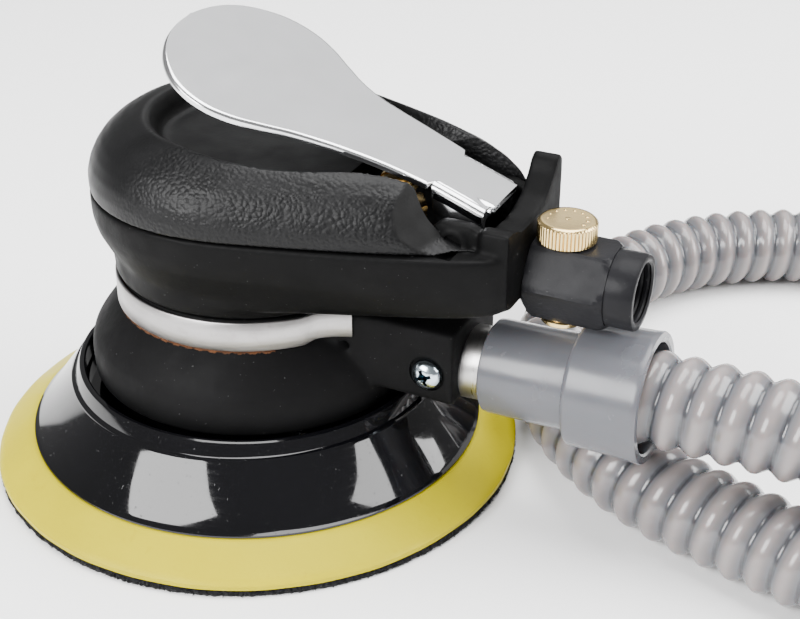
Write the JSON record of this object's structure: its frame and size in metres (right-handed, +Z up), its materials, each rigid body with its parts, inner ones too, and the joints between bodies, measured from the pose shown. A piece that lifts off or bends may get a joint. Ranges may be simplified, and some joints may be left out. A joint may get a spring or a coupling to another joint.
{
  "type": "orbital sander",
  "caption": "Pneumatic palm random-orbit sander: lever on a rubber palm grip, clamped rubber shroud, round sanding pad, air inlet with regulator, and a corrugated dust hose.",
  "frame": {"origin": "where the motor's axis meets the plane of the pad's sanding face", "axes": "+Z up along the motor axis, +X from the motor to the air inlet, +Y to the far side when the inlet is at the right"},
  "size_m": [0.3932, 0.2605, 0.1042],
  "materials": {
    "grip_rubber": "leather-grain moulded",
    "housing_black": "fine satin black coat",
    "shroud_rubber": "matte",
    "pad_gloss": "moulded gloss",
    "pad_yellow": "skinned foam",
    "hook_black": "hook pile",
    "lever_chrome": "polished",
    "band_aluminium": "rolled",
    "liner_cork": "pressed fibre",
    "screw_zinc": "blue zinc",
    "tube_aluminium": "turned",
    "cuff_grey": "soft PVC",
    "hose_grey": "corrugated PVC",
    "inlet_black": "black oxide",
    "knob_brass": "bright",
    "valve_brass": "turned",
    "steel_bright": "ground",
    "steel_dark": "blackened",
    "motor_iron": "machined",
    "end_plate_aluminium": "machined",
    "vane_fibre": "phenolic",
    "seat_nylon": "moulded"
  },
  "bodies": {
    "housing": {"motor_housing": "housing_black", "palm_grip": "grip_rubber", "lock_ring": "end_plate_aluminium", "lower_end_plate": "end_plate_aluminium", "upper_end_plate": "end_plate_aluminium", "motor_cylinder": "motor_iron", "cylinder_pin": "steel_bright", "lower_bearing": "steel_bright", "upper_bearing": "steel_bright", "lever_pin": "steel_dark", "valve_seat": "seat_nylon", "valve_bush": "valve_brass", "valve_spring": "steel_bright", "inlet_bushing": "inlet_black", "shroud": "shroud_rubber", "shroud_screw": "screw_zinc", "clamp_band": "band_aluminium", "band_liner": "liner_cork", "dust_tube": "tube_aluminium", "hose_cuff": "cuff_grey", "hose": "hose_grey", "hose_end_cuff": "cuff_grey"},
    "rotor": {"shaft_balancer": "steel_bright", "shaft_key": "steel_bright", "rotor": "steel_bright", "rotor_vanes": "vane_fibre", "spindle_bearing": "steel_bright", "spindle_ring": "steel_dark"},
    "pad": {"spindle": "steel_bright", "pad_stud": "steel_bright", "pad_body": "pad_gloss", "pad_foam": "pad_yellow", "hook_layer": "hook_black"},
    "lever": {"lever": "lever_chrome"},
    "valve": {"valve_plunger": "valve_brass", "valve_tip": "seat_nylon"},
    "regulator": {"regulator_knob": "knob_brass", "regulator_spool": "knob_brass", "regulator_ring": "knob_brass"}
  },
  "joints": [
    {"name": "rotor_spin", "type": "hinge", "parent": "housing", "child": "rotor", "pos_m": [0, 0, 0.058], "axis": [0, 0, 1], "continuous": true},
    {"name": "pad_spin", "type": "hinge", "parent": "rotor", "child": "pad", "pos_m": [0, -0.0012, 0.03], "axis": [0, 0, 1], "continuous": true},
    {"name": "lever_press", "type": "hinge", "parent": "housing", "child": "lever", "pos_m": [0.056, 0, 0.07], "axis": [0, -1, 0], "range_deg": [0, 7], "stiffness_Nm_per_rad": 0.6, "springref_deg": -14.32},
    {"name": "valve_slide", "type": "slide", "parent": "housing", "child": "valve", "axis": [0, 0, -1], "range_m": [0, 0.0016], "deforming": ["valve_spring"]},
    {"name": "regulator_turn", "type": "hinge", "parent": "housing", "child": "regulator", "pos_m": [0.0754, 0, 0.06], "axis": [0, 0, 1], "range_deg": [0, 180]}
  ],
  "couplings": [
    {"joint": "valve_slide", "follows": "lever_press", "m_per_rad": 0.0125}
  ]
}
